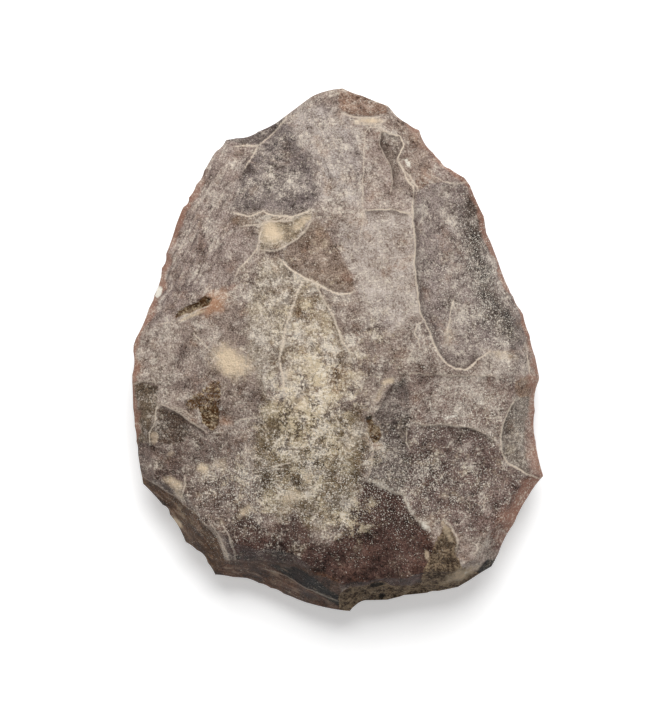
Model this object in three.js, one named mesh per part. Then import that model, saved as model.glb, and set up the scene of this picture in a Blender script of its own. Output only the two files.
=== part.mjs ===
// A flint scraper, one piece of knapped flint shaped like a flattened egg with its tip at +Y.
// It lies on its plainer face. Millimetres, +Z up, with the origin on the resting surface
// below the middle of the outline.
import * as THREE from 'three';
import { mergeVertices } from 'three/addons/utils/BufferGeometryUtils.js';

// Driving sizes of the whole flint
const LENGTH = 100;
const WIDTH = 78.7;
const EDGE_HEIGHT = 9;
const CROWN_RISE = 14.5;

// The sharp edge waves up and down as flakes were struck from both faces
const EDGE_WAVE = 1.3;
const EDGE_WAVES = 3;
const EDGE_WAVE_PHASE = 0.63;
const EDGE_RIPPLE = 0.7;
const EDGE_RIPPLES = 8;
const EDGE_RIPPLE_PHASE = 2.2;

// The wall of small flakes that stands between the sharp edge and the worked face
const SIDE_WALL = 1.5;
const BUTT_WALL = 8;
const BUTT_STARTS = 0.35;
const BUTT_FULL = 0.95;
const FLAKE_HOLLOW = 0.22;
const LEAST_WEDGE = 0.14;

// The face below bulges past the resting plane and is worn flat there
const REST_BULGE = 1.3;
const LOWER_WALL = 1.4;
const LOWER_SLOPE = 31;

// Scars on the face below, spread by the golden angle. Reach is a share of the outline's half
// sizes, length and width are shares of the half length, and variety is how far sizes stray.
const LOWER_SCARS = 13;
const LOWER_SCAR_DEPTH = 0.9;
const LOWER_SCAR_REACH = 0.7;
const LOWER_SCAR_LENGTH = 0.3;
const LOWER_SCAR_WIDTH = 0.2;
const LOWER_SCAR_VARIETY = 0.3;
const LOWER_SCAR_SQUARENESS = 2.2;

// Roundness of the two faces: 2 is a parabola, more is flatter with a steeper shoulder
const UPPER_ROUNDNESS = 1.9;
const LOWER_ROUNDNESS = 2.1;
const EGG_TAPER = 0.65;

// Half as many rows of faces as the grid over each side has
const RINGS = 22;
const EDGE_CROWDING = 1.2;

const FLINT_COLOUR = 0x8b7d72;
const FLINT_ROUGHNESS = 0.5;
const FLINT_METALNESS = 0;

const HALF_WIDTH = WIDTH / 2;
const HALF_LENGTH = LENGTH / 2;
const STATIONS = 8 * RINGS;
const GOLDEN_ANGLE = Math.PI * (3 - Math.sqrt(5));

// Corners of the outline, clockwise from the tip. Each row has the corner's place as shares of
// the half width and half length, the bow of the stretch after it as a share of that stretch
// (plus is outward), and the slope in degrees of the wall above that stretch.
const CORNERS = [
  [0.024, 1.0, 0, 50],
  [0.243, 0.935, -0.06, 55],
  [0.394, 0.843, -0.09, 52],
  [0.613, 0.659, 0.07, 58],
  [0.725, 0.452, 0, 58],
  [0.783, 0.337, -0.04, 55],
  [0.895, 0.157, 0.02, 58],
  [0.983, -0.115, -0.07, 56],
  [1.0, -0.483, -0.04, 54],
  [0.856, -0.659, 0, 58],
  [0.745, -0.828, 0, 68],
  [0.584, -0.908, 0.02, 66],
  [0.321, -0.939, 0.05, 64],
  [0.131, -0.962, -0.1, 64],
  [0.058, -1.0, 0.03, 62],
  [-0.2, -0.958, 0, 60],
  [-0.443, -0.877, 0, 60],
  [-0.603, -0.866, -0.09, 60],
  [-0.74, -0.736, -0.05, 58],
  [-0.949, -0.513, 0.02, 56],
  [-1.0, -0.123, 0, 56],
  [-0.993, 0.019, 0.02, 55],
  [-0.9, 0.192, 0.02, 52],
  [-0.759, 0.54, 0, 52],
  [-0.608, 0.751, 0, 52],
  [-0.545, 0.808, -0.05, 46],
  [-0.297, 0.874, 0, 50],
  [-0.131, 0.969, 0.05, 52],
];

// Flake scars on the worked face. Each row has the place of the scar's middle as shares of the
// half width and half length, its heading in degrees from +X, its half length and half width as
// shares of the half length, its depth in mm and how square its outline is (2 is an oval).
const SCARS = [
  [-0.33, 0.72, -22, 0.28, 0.19, 1.2, 2.4],
  [-0.46, 0.81, 12, 0.19, 0.05, 1.0, 2],
  [-0.74, 0.43, 66, 0.34, 0.15, 1.1, 2.2],
  [0.68, 0.31, 88, 0.41, 0.25, 1.8, 3],
  [0.24, 0.71, 90, 0.2, 0.1, 0.45, 5],
  [-0.03, 0.39, -30, 0.18, 0.11, 0.9, 2.4],
  [-0.23, 0.45, -15, 0.11, 0.08, 0.6, 2],
  [0.23, 0.21, 90, 0.31, 0.11, 0.35, 3],
  [-0.78, -0.01, 78, 0.22, 0.18, 0.7, 2.2],
  [-0.72, -0.41, 55, 0.24, 0.19, 0.9, 2.2],
  [0.57, -0.2, 0, 0.24, 0.12, 0.6, 2.4],
  [0.6, -0.54, 30, 0.31, 0.25, 1.4, 2.2],
  [0.89, -0.29, 88, 0.2, 0.08, 1.0, 2.2],
  [0.17, -0.77, 78, 0.29, 0.22, 1.3, 2.2],
  [-0.37, -0.65, 55, 0.26, 0.18, 0.5, 2.2],
  [-0.18, 0.02, 82, 0.3, 0.18, 0.35, 2.2],
  [0.46, -0.75, 60, 0.2, 0.11, 0.8, 2.2],
  [0.16, 0.93, -15, 0.11, 0.05, 1.0, 2],
  [0.44, 0.76, -50, 0.18, 0.09, 0.9, 2.2],
  [-0.13, 0.89, 28, 0.14, 0.08, 0.6, 2.2],
  [-0.45, 0.19, 60, 0.23, 0.14, 0.4, 2.2],
];

// The height of the sharp edge, at a share of the way round clockwise from the tip
function edgeHeight(share) {
  const turn = 2 * Math.PI * share;
  const wave = EDGE_WAVE * Math.sin(EDGE_WAVES * turn + EDGE_WAVE_PHASE);
  const ripple = EDGE_RIPPLE * Math.sin(EDGE_RIPPLES * turn + EDGE_RIPPLE_PHASE);
  return EDGE_HEIGHT + wave + ripple;
}

// The outline's corners in mm, and the station of the grid's rim that each one takes
function placeCorners() {
  const places = CORNERS.map(([across, along]) =>
    new THREE.Vector2(across * HALF_WIDTH, along * HALF_LENGTH));
  const walked = [0];
  places.forEach((place, index) => {
    const next = places[(index + 1) % places.length];
    walked.push(walked[index] + place.distanceTo(next));
  });
  const round = walked[places.length];
  const stations = walked.map((distance) => Math.round((distance / round) * STATIONS));
  return { places, stations };
}

const { places: cornerPlaces, stations: cornerStations } = placeCorners();

// The points of the rim, one for each station, on stretches bowed between the corners
function walkOutline() {
  const rim = [];
  CORNERS.forEach(([, , bow, slope], index) => {
    const start = cornerPlaces[index];
    const chord = cornerPlaces[(index + 1) % CORNERS.length].clone().sub(start);
    const outward = new THREE.Vector2(-chord.y, chord.x);
    const first = cornerStations[index];
    const steps = cornerStations[index + 1] - first;
    for (let step = 0; step < steps; step += 1) {
      const along = step / steps;
      const place = start.clone().addScaledVector(chord, along);
      place.addScaledVector(outward, 4 * bow * along * (1 - along));
      const height = edgeHeight((first + step) / STATIONS);
      rim.push({ place, height, along, slope, steps });
    }
  });
  return rim;
}

const rim = walkOutline();

// The nearest way from a point to the rim, and the lowest wall that rises from it there
function measureFromRim(x, y) {
  let distance = Infinity;
  let height = EDGE_HEIGHT;
  let wall = Infinity;
  rim.forEach((from, index) => {
    const to = rim[(index + 1) % STATIONS];
    const spanX = to.place.x - from.place.x;
    const spanY = to.place.y - from.place.y;
    const reach = (x - from.place.x) * spanX + (y - from.place.y) * spanY;
    const share = THREE.MathUtils.clamp(reach / (spanX * spanX + spanY * spanY), 0, 1);
    const away = Math.hypot(x - from.place.x - share * spanX, y - from.place.y - share * spanY);
    const foot = THREE.MathUtils.lerp(from.height, to.height, share);
    const along = from.along + share / from.steps;
    const hollow = 1 - FLAKE_HOLLOW * Math.sin(Math.PI * along);
    const rise = Math.tan(THREE.MathUtils.degToRad(from.slope)) * hollow * away;
    wall = Math.min(wall, foot + rise);
    if (away < distance) {
      distance = away;
      height = foot;
    }
  });
  return { distance, height, wall };
}

// How far out a point lies, from 0 at the middle to 1 at the rim of a smooth egg
function eggShare(x, y) {
  const across = x / HALF_WIDTH;
  const along = y / HALF_LENGTH;
  return Math.sqrt(across * across * Math.exp(EGG_TAPER * along) + along * along);
}

// The depth of an oval scar at a point, less than 0 outside it
function scarDepth(x, y, middleX, middleY, heading, halfLong, halfWide, depth, squareness) {
  const lengthwise = (x - middleX) * Math.cos(heading) + (y - middleY) * Math.sin(heading);
  const sideways = (y - middleY) * Math.cos(heading) - (x - middleX) * Math.sin(heading);
  const endShare = Math.abs(lengthwise / halfLong) ** squareness;
  const sideShare = Math.abs(sideways / halfWide) ** squareness;
  return depth * (1 - endShare - sideShare);
}

// The worked face: a low dome cut by the scars, trimmed by the wall along the sharp edge
function upperHeight(x, y) {
  const { distance, height, wall } = measureFromRim(x, y);
  const towardButt = THREE.MathUtils.smoothstep(-y / HALF_LENGTH, BUTT_STARTS, BUTT_FULL);
  const face = THREE.MathUtils.lerp(SIDE_WALL, BUTT_WALL, towardButt);
  const dome = (CROWN_RISE - face) * (1 - eggShare(x, y) ** UPPER_ROUNDNESS);
  let cut = 0;
  SCARS.forEach(([across, along, heading, halfLong, halfWide, depth, squareness]) => {
    const turn = THREE.MathUtils.degToRad(heading);
    cut = Math.max(cut, scarDepth(x, y, across * HALF_WIDTH, along * HALF_LENGTH, turn,
      halfLong * HALF_LENGTH, halfWide * HALF_LENGTH, depth, squareness));
  });
  const worked = EDGE_HEIGHT + face + dome - cut;
  return Math.max(Math.min(worked, wall), height + LEAST_WEDGE * distance);
}

// The plainer face: a shallow bowl with scars struck inward all round, flat where it rests
function lowerHeight(x, y) {
  const { distance, height } = measureFromRim(x, y);
  const bowlDepth = EDGE_HEIGHT - LOWER_WALL + REST_BULGE;
  const bowl = -REST_BULGE + bowlDepth * eggShare(x, y) ** LOWER_ROUNDNESS;
  let cut = 0;
  for (let scar = 0; scar < LOWER_SCARS; scar += 1) {
    const turn = scar * GOLDEN_ANGLE;
    const middleX = LOWER_SCAR_REACH * HALF_WIDTH * Math.cos(turn);
    const middleY = LOWER_SCAR_REACH * HALF_LENGTH * Math.sin(turn);
    const size = 1 + LOWER_SCAR_VARIETY * Math.cos(turn * LOWER_SCARS);
    cut = Math.max(cut, scarDepth(x, y, middleX, middleY, turn,
      LOWER_SCAR_LENGTH * size * HALF_LENGTH, LOWER_SCAR_WIDTH * size * HALF_LENGTH,
      LOWER_SCAR_DEPTH * size, LOWER_SCAR_SQUARENESS));
  }
  const wall = height - Math.tan(THREE.MathUtils.degToRad(LOWER_SLOPE)) * distance;
  const worked = Math.max(bowl + cut, wall);
  return Math.max(0, Math.min(worked, height - LEAST_WEDGE * distance));
}

// The share of the way round, clockwise from the tip, at which a ray to a grid point leaves
function stationOf(column, row) {
  if (row > 0 && Math.abs(column) <= row) {
    return (RINGS * column) / row;
  }
  if (column > 0 && Math.abs(row) <= column) {
    return 2 * RINGS - (RINGS * row) / column;
  }
  if (row < 0 && Math.abs(column) <= -row) {
    return 4 * RINGS + (RINGS * column) / row;
  }
  return 6 * RINGS - (RINGS * row) / column;
}

// The point of the outline at a station, which may lie between two points of the rim
function outlineAt(station) {
  const whole = Math.floor(station);
  const from = rim[(whole + STATIONS) % STATIONS].place;
  const to = rim[(whole + 1 + STATIONS) % STATIONS].place;
  return from.clone().lerp(to, station - whole);
}

// A grid point's place over the flint: rings of the grid shrink from the outline to the middle
function spreadOver(column, row, heightAt) {
  const ring = Math.max(Math.abs(column), Math.abs(row));
  if (ring === 0) {
    return new THREE.Vector3(0, 0, heightAt(0, 0));
  }
  const station = stationOf(column, row);
  const outward = 1 - (1 - ring / RINGS) ** EDGE_CROWDING;
  const place = outlineAt(station).multiplyScalar(outward);
  if (ring === RINGS) {
    return new THREE.Vector3(place.x, place.y, rim[(station + STATIONS) % STATIONS].height);
  }
  return new THREE.Vector3(place.x, place.y, heightAt(place.x, place.y));
}

// One face of the flint as a grid of triangles, each square split along its ridge or valley
function addFace(triangles, heightAt, looksUp) {
  const grid = [];
  for (let row = -RINGS; row <= RINGS; row += 1) {
    const line = [];
    for (let column = -RINGS; column <= RINGS; column += 1) {
      line.push(spreadOver(column, row, heightAt));
    }
    grid.push(line);
  }
  const addTriangle = (a, b, c) => triangles.push(...(looksUp ? [a, b, c] : [a, c, b]));
  for (let row = 0; row < 2 * RINGS; row += 1) {
    for (let column = 0; column < 2 * RINGS; column += 1) {
      const a = grid[row][column];
      const b = grid[row][column + 1];
      const c = grid[row + 1][column + 1];
      const d = grid[row + 1][column];
      const middle = heightAt((a.x + b.x + c.x + d.x) / 4, (a.y + b.y + c.y + d.y) / 4);
      const missOne = Math.abs((a.z + c.z) / 2 - middle);
      const missTwo = Math.abs((b.z + d.z) / 2 - middle);
      if (missOne < missTwo) {
        addTriangle(a, b, c);
        addTriangle(a, c, d);
      } else {
        addTriangle(a, b, d);
        addTriangle(b, c, d);
      }
    }
  }
}

// Both faces closed at the sharp edge, and moved so that the outline's middle is on the origin
function knapFlint() {
  const triangles = [];
  addFace(triangles, upperHeight, true);
  addFace(triangles, lowerHeight, false);
  const geometry = new THREE.BufferGeometry().setFromPoints(triangles);
  geometry.computeBoundingBox();
  const middle = geometry.boundingBox.getCenter(new THREE.Vector3());
  geometry.translate(-middle.x, -middle.y, 0);
  return mergeVertices(geometry);
}

const flint = new THREE.Mesh(knapFlint(), new THREE.MeshStandardMaterial({
  color: FLINT_COLOUR,
  roughness: FLINT_ROUGHNESS,
  metalness: FLINT_METALNESS,
  flatShading: true,
}));
flint.name = 'flint_scraper';

const scraper = new THREE.Group();
scraper.add(flint);

export default scraper;
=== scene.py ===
import math
import random

import bpy
import numpy as np
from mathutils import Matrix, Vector, noise


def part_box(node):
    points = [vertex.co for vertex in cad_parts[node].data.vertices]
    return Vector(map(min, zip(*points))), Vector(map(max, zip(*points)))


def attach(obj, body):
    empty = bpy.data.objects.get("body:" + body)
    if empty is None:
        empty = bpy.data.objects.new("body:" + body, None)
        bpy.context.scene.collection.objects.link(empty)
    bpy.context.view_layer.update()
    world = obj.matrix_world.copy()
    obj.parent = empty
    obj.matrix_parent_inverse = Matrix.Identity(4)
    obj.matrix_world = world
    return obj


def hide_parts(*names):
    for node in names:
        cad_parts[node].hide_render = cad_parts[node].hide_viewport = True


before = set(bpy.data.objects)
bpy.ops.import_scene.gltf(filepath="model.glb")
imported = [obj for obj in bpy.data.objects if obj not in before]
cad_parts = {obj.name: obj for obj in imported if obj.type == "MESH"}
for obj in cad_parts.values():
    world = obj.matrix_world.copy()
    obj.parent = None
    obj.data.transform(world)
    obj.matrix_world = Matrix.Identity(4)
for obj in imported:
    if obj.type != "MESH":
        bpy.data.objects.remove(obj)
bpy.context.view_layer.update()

# Camera
# The flint lies flat and is seen from straight above, its tip at the top of the frame. The lens is
# long and the flint sits a little right of the middle.
MM = 0.001
EDGE_HEIGHT = 9
low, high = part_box("flint_scraper")
LENS = 150
SENSOR = 36
FRAME_HEIGHT = 702
FLINT_IN_FRAME = 522
frame_in_metres = (high[1] - low[1]) * FRAME_HEIGHT / FLINT_IN_FRAME
camera_height = EDGE_HEIGHT * MM + frame_in_metres * LENS / SENSOR
CAMERA_ACROSS = -1.05 * MM
CAMERA_ALONG = -0.19 * MM
bpy.ops.object.camera_add(location=(CAMERA_ACROSS, CAMERA_ALONG, camera_height))
camera = bpy.context.object
camera.data.lens = LENS
camera.data.sensor_width = SENSOR
bpy.context.scene.camera = camera

# Outline of the flint
# The sharp edge runs round the whole flint. Big flakes left its corners, and rows of small ones,
# struck to sharpen it, left shallow bites between them.
HALF_WIDTH = (high[0] - low[0]) / 2 / MM
HALF_LENGTH = (high[1] - low[1]) / 2 / MM
UPPER_RINGS = 144
LOWER_RINGS = 48
FINER = UPPER_RINGS // LOWER_RINGS
STATIONS = 8 * UPPER_RINGS

# Corners clockwise from the tip: shares of the half width and half length, bow of the stretch
# after the corner as a share of it, and the slope in degrees of the wall above that stretch
CORNERS = [
    (0.024, 1.0, 0, 50),
    (0.243, 0.935, -0.06, 55),
    (0.394, 0.843, -0.09, 52),
    (0.613, 0.659, 0.07, 58),
    (0.725, 0.452, 0, 58),
    (0.783, 0.337, -0.04, 55),
    (0.895, 0.157, 0.02, 58),
    (0.983, -0.115, -0.07, 56),
    (1.0, -0.483, -0.04, 54),
    (0.856, -0.659, 0, 58),
    (0.745, -0.828, 0, 68),
    (0.584, -0.908, 0.02, 66),
    (0.321, -0.939, 0.05, 64),
    (0.131, -0.962, -0.1, 64),
    (0.058, -1.0, 0.03, 62),
    (-0.2, -0.958, 0, 60),
    (-0.443, -0.877, 0, 60),
    (-0.603, -0.866, -0.09, 60),
    (-0.74, -0.736, -0.05, 58),
    (-0.949, -0.513, 0.02, 56),
    (-1.0, -0.123, 0, 56),
    (-0.993, 0.019, 0.02, 55),
    (-0.9, 0.192, 0.02, 52),
    (-0.759, 0.54, 0, 52),
    (-0.608, 0.751, 0, 52),
    (-0.545, 0.808, -0.05, 46),
    (-0.297, 0.874, 0, 50),
    (-0.131, 0.969, 0.05, 52),
]
places = np.array([(across * HALF_WIDTH, along * HALF_LENGTH) for across, along, _, _ in CORNERS])
chords = np.roll(places, -1, axis=0) - places
chord_lengths = np.hypot(*chords.T)
walked = np.concatenate([[0], np.cumsum(chord_lengths)])
perimeter = walked[-1]
corner_stations = FINER * np.rint(walked / perimeter * STATIONS / FINER).astype(int)

EDGE_WAVE = 1.3
EDGE_WAVES = 3
EDGE_WAVE_PHASE = 0.63
EDGE_RIPPLE = 0.7
EDGE_RIPPLES = 8
EDGE_RIPPLE_PHASE = 2.2
BITE_SPACING = (1.8, 6.5)
BITE_DEPTH = 0.4
chance = random.Random(11)
bites = []
at = 0
while at < perimeter - BITE_SPACING[1]:
    width = chance.uniform(*BITE_SPACING)
    bites.append((at + width / 2, width / 2, BITE_DEPTH * chance.random() ** 2))
    at += width


def bite_depth(distance):
    """How far the small flakes cut into the outline, at a distance walked round from the tip."""
    return max([depth * (1 - ((distance - middle) / half) ** 2)
                for middle, half, depth in bites if abs(distance - middle) < half] or [0])


rim = np.zeros((STATIONS, 2))
rim_height = np.zeros(STATIONS)
rim_along = np.zeros(STATIONS)
rim_outward = np.zeros((STATIONS, 2))
for index, (_, _, bow, _) in enumerate(CORNERS):
    first, last = corner_stations[index], corner_stations[index + 1]
    along = np.arange(last - first) / (last - first)
    outward = np.array([-chords[index][1], chords[index][0]])
    arch = 4 * bow * along * (1 - along)
    bowed = places[index] + np.outer(along, chords[index]) + np.outer(arch, outward)
    outward = outward / chord_lengths[index]
    bitten = np.array([bite_depth(walked[index] + share * chord_lengths[index])
                       for share in along])
    rim[first:last] = bowed - np.outer(bitten, outward)
    rim_along[first:last] = along
    rim_outward[first:last] = outward
    turn = 2 * math.pi * np.arange(first, last) / STATIONS
    rim_height[first:last] = (EDGE_HEIGHT + EDGE_WAVE * np.sin(EDGE_WAVES * turn + EDGE_WAVE_PHASE)
                              + EDGE_RIPPLE * np.sin(EDGE_RIPPLES * turn + EDGE_RIPPLE_PHASE))

# Worked face of the flint
# Flakes were struck off a core all round, which left a low dome of hollow scars with ridges between
# them, and a steep wall at the butt. Three soft spots weathered to pits.
CROWN_RISE = 14.5
SIDE_WALL = 1.5
BUTT_WALL = 8
BUTT_STARTS = 0.35
BUTT_FULL = 0.95
FLAKE_HOLLOW = 0.22
LEAST_WEDGE = 0.14
UPPER_ROUNDNESS = 1.9
EGG_TAPER = 0.65
WALL_REACH = 18

# Flake scars: the middle as shares of the half width and half length, heading in degrees from +X,
# half length and half width as shares of the half length, depth in mm, squareness (2 is an oval)
SCARS = [
    (-0.33, 0.72, -22, 0.28, 0.19, 1.2, 2.4),
    (-0.46, 0.81, 12, 0.19, 0.05, 1.0, 2),
    (-0.74, 0.43, 66, 0.34, 0.15, 1.1, 2.2),
    (0.68, 0.31, 88, 0.41, 0.25, 1.8, 3),
    (0.24, 0.71, 90, 0.2, 0.1, 0.45, 5),
    (-0.03, 0.39, -30, 0.18, 0.11, 0.9, 2.4),
    (-0.23, 0.45, -15, 0.11, 0.08, 0.6, 2),
    (0.23, 0.21, 90, 0.31, 0.11, 0.35, 3),
    (-0.78, -0.01, 78, 0.22, 0.18, 0.7, 2.2),
    (-0.72, -0.41, 55, 0.24, 0.19, 0.9, 2.2),
    (0.57, -0.2, 0, 0.24, 0.12, 0.6, 2.4),
    (0.6, -0.54, 30, 0.31, 0.25, 1.4, 2.2),
    (0.89, -0.29, 88, 0.2, 0.08, 1.0, 2.2),
    (0.17, -0.77, 78, 0.29, 0.22, 1.3, 2.2),
    (-0.37, -0.65, 55, 0.26, 0.18, 0.5, 2.2),
    (-0.18, 0.02, 82, 0.3, 0.18, 0.35, 2.2),
    (0.46, -0.75, 60, 0.2, 0.11, 0.8, 2.2),
    (0.16, 0.93, -15, 0.11, 0.05, 1.0, 2),
    (0.44, 0.76, -50, 0.18, 0.09, 0.9, 2.2),
    (-0.13, 0.89, 28, 0.14, 0.08, 0.6, 2.2),
    (-0.45, 0.19, 60, 0.23, 0.14, 0.4, 2.2),
]

# Ridges and steps between the scars, in mm: the line, the crest's height and half width, the drop
# on the right of the way the line runs, how far that drop takes to rise again, and how pale
# wear has left the crest
RIDGES = [
    ([(4.7, 26.3), (7, 26.4), (10, 26.5), (12.5, 26), (13.9, 25.8)], 0.1, 0.25, 0.45, 5, 0.9),
    ([(28.8, 0), (27, -1.5), (25.5, -2.8), (24, -3.7), (22, -3.5), (20.5, -2.7), (19, -1), (18, 1),
      (17.3, 3), (16.4, 5), (15.3, 7.5), (15, 10), (14.6, 13), (14.4, 16), (14.5, 20), (14.3, 24),
      (14, 27), (14.3, 29.5)], 0.15, 0.28, 0.55, 6, 0.85),
    ([(14.3, 29.5), (14.2, 31), (13, 32.5), (12, 34.5), (11.4, 36)], 0.12, 0.25, 0.1, 3, 0.8),
    ([(9.9, 29.5), (10.3, 32), (9.8, 35), (8.5, 37.5), (7.9, 39), (8.2, 42)], 0.05, 0.2, 0.6, 2.2,
      0.35),
    ([(8.4, 42), (10, 41.2), (11.8, 40.8), (12.5, 39), (11.5, 37), (11.3, 36)], 0.12, 0.25, 0.4, 1.8,
      0.9),
    ([(11.4, 36), (12.4, 34.2), (13.5, 33), (14.8, 31), (15.1, 30.2)], 0.1, 0.22, 0.15, 2, 0.7),
    ([(8.4, 44.6), (5, 44.2), (2.4, 44.4), (0.8, 45.3)], 0.05, 0.3, 0.5, 3, 0.5),
    ([(3, 43.1), (5.5, 42.9), (8, 43)], 0.1, 0.25, 0.2, 2, 0.8),
    ([(5.3, 41.2), (4.9, 38), (4.7, 33), (4.7, 26.3)], 0.1, 0.2, 0.1, 3, 0.55),
    ([(4.7, 26.3), (4.6, 24), (4.1, 21.8), (3.9, 20)], 0.06, 0.2, 0.1, 2, 0.45),
    ([(5.2, 41), (6, 42.3), (8, 42.4), (8.3, 41.6)], 0.08, 0.2, 0.1, 2, 0.6),
    ([(25, 32.3), (22.5, 31.7), (20, 32.1), (18, 33.2)], 0.05, 0.25, 0.3, 3, 0.5),
    ([(-9.7, 44.9), (-12, 42), (-14, 40), (-15.3, 39.2), (-17, 36), (-18, 34.3)], 0.1, 0.25, 0.3, 3,
      0.6),
    ([(-15.3, 39.2), (-17.5, 39.1), (-20, 38.9)], 0.08, 0.3, 0.25, 2, 0.8),
    ([(-5, 26.4), (-7, 25.5), (-9, 25.1), (-11, 25.2), (-13, 25.6), (-14, 26.2), (-15, 25.8),
      (-17, 25.3), (-18.5, 25.6), (-20, 26)], 0.1, 0.28, 0.4, 4, 0.85),
    ([(-8, 24.8), (-10, 24.4), (-13.5, 24.2), (-15, 23.8), (-18.5, 23.3)], 0.08, 0.25, 0.2, 1.5, 0.75),
    ([(-14.5, 18.8), (-12, 18.6), (-10.5, 19.3), (-8, 20.7), (-6, 22.6), (-4.5, 24.6)], 0.1, 0.28, 0.35,
      4, 0.8),
    ([(-14, 23.4), (-14.9, 21), (-15.2, 19), (-17, 17), (-18.8, 15.3), (-19.6, 12.5)], 0.1, 0.25, 0.25,
      3, 0.7),
    ([(3.2, 11), (2, 10.6), (0, 10.5), (-1, 10.8), (-3.5, 12.2), (-6.3, 13.4), (-9, 15.1),
      (-11.3, 17.3)], 0.15, 0.3, 0.5, 5, 1),
    ([(-10.1, -8), (-10.3, -5), (-10.8, -3.5), (-10.8, -1.5), (-10.3, 1), (-9.7, 4.5), (-8.5, 8),
      (-7.5, 11), (-6.4, 13.3)], 0.15, 0.38, 0.3, 2.5, 1),
    ([(-5, 13.3), (-4, 12), (-2.5, 9), (-1, 6.5), (-0.2, 4), (0.8, 1.5), (2.5, -0.5)], 0.15, 0.34, 0.3,
      2.5, 1),
    ([(-39, -6.6), (-37, -6), (-35, -6), (-34.3, -6.6)], 0.06, 0.25, 0.3, 3, 0.4),
    ([(-34, -10.3), (-34.6, -12), (-35, -14), (-36, -16), (-35.7, -17.8)], 0.12, 0.25, 0.3, 3, 0.7),
    ([(-34, -10.3), (-32, -10.8), (-30, -12), (-28, -13.5), (-26, -14.8), (-24.8, -15.5)], 0.12, 0.25,
      0.45, 5, 0.7),
    ([(-31, -10.6), (-29, -11.6), (-27.5, -12.6)], 0.08, 0.22, 0.1, 1, 0.6),
    ([(39.2, -24.8), (37, -24.2), (35, -23), (32, -21.5), (31.1, -19.5), (30.8, -17), (31, -15),
      (31.5, -13), (32.5, -11), (33.8, -9)], 0.12, 0.25, 0.5, 4, 0.75),
    ([(6.3, -12.3), (7.4, -11.2), (8.2, -10), (8.7, -8.3), (9.5, -7), (10.3, -5.8)], 0, 0.2, 0.6, 1.5,
      0),
    ([(6.8, -18), (6.3, -20), (6.1, -22.5), (5.6, -24)], 0.1, 0.28, 0.1, 2, 0.5),
    ([(13, -15), (12.9, -17.5), (13.5, -18.8)], 0.1, 0.22, 0.1, 2, 0.6),
    ([(5, -24.5), (7, -24.8), (9, -26), (11, -27.2), (12.2, -27), (12.8, -28.5), (13.8, -31), (15, -32),
      (16.5, -33.3), (17.5, -34.2)], 0.15, 0.45, 0.35, 5, 0.6),
    ([(20.2, -32.2), (21.5, -33.5), (22.6, -36), (22.3, -38)], 0.1, 0.4, 0.3, 2, 0.7),
    ([(13.5, -13.2), (16, -14.2), (20, -14), (24.5, -14.5), (27, -15.5), (29.5, -17), (30.5, -18.3)],
      0.12, 0.3, 0.45, 5, 0.4),
    ([(-14.6, 20.3), (-12.4, 19.9), (-10.4, 20.6)], 0.05, 0.2, 0.1, 1, 0.6),
    ([(-14.7, 21.6), (-12.3, 21.2), (-10, 22)], 0.05, 0.2, 0.1, 1, 0.5),
    ([(13, -4.3), (17, -4.6), (21, -4.8), (26, -4.7), (31, -5.2)], 0.05, 0.3, 0.25, 2.5, 0.35),
    ([(15.9, 5.5), (14.7, 4.6), (14.3, 3.2), (15, 2), (15.3, 0)], 0.05, 0.2, 0.1, 2, 0.7),
    ([(20.5, 2.5), (20.9, 5), (21.3, 7.5), (22, 10)], 0.05, 0.25, 0.15, 2, 0.65),
    ([(36.2, -0.8), (36.7, -4.5)], 0.08, 0.22, 0.1, 2, 0.7),
    ([(-36.8, -24.5), (-34, -26), (-31, -28), (-29, -29.5), (-26.5, -31.5), (-24.5, -33.5),
      (-23, -35.5), (-22, -38), (-21, -40.5)], 0.15, 0.2, 0.3, 3, 0.3),
    ([(-21.5, -40.3), (-17, -40.2), (-12, -40), (-8, -40.3), (-5, -40.8), (-2, -42.2)], 0, 0.2, 0.7,
      2.5, 0.05),
    ([(-14.5, -41.6), (-10, -43), (-6, -45.3), (-3, -46.8), (0.5, -48)], 0.2, 0.2, 0, 2, 0.3),
    ([(-24.3, -32.6), (-22.8, -34.6), (-21.5, -37.5), (-20.6, -40.6)], 0.08, 0.25, 0.15, 2, 0.6),
    ([(-22.2, -32.2), (-20.6, -35), (-19.8, -38), (-19.5, -40.5)], 0.08, 0.25, 0.15, 2, 0.5),
    ([(-29.2, -23.6), (-29, -25.5), (-29.6, -27.6), (-30.2, -28.3)], 0.1, 0.25, 0.2, 2, 0.6),
    ([(-20, -36), (-19.5, -39)], 0.08, 0.22, 0.1, 2, 0.4),
    ([(-12.3, -22), (-10.5, -21.6), (-8.8, -21.2)], 0.08, 0.22, 0.1, 1, 0.9),
    ([(-27, 3), (-24, -0.3), (-22, -2)], 0.06, 0.25, 0.1, 2, 0.6),
    ([(-18.6, -13.1), (-16.5, -12.8), (-14.8, -13)], 0.05, 0.22, 0.1, 1, 0.7),
    ([(-34.5, 5), (-32, 5.2), (-31, 6)], 0.05, 0.2, 0.1, 1, 0.5),
    ([(-24, 8.6), (-25.5, 7.8), (-27.5, 7.1), (-29.5, 6.4)], 0.15, 0.25, 0, 1, 0.8),
]

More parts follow.
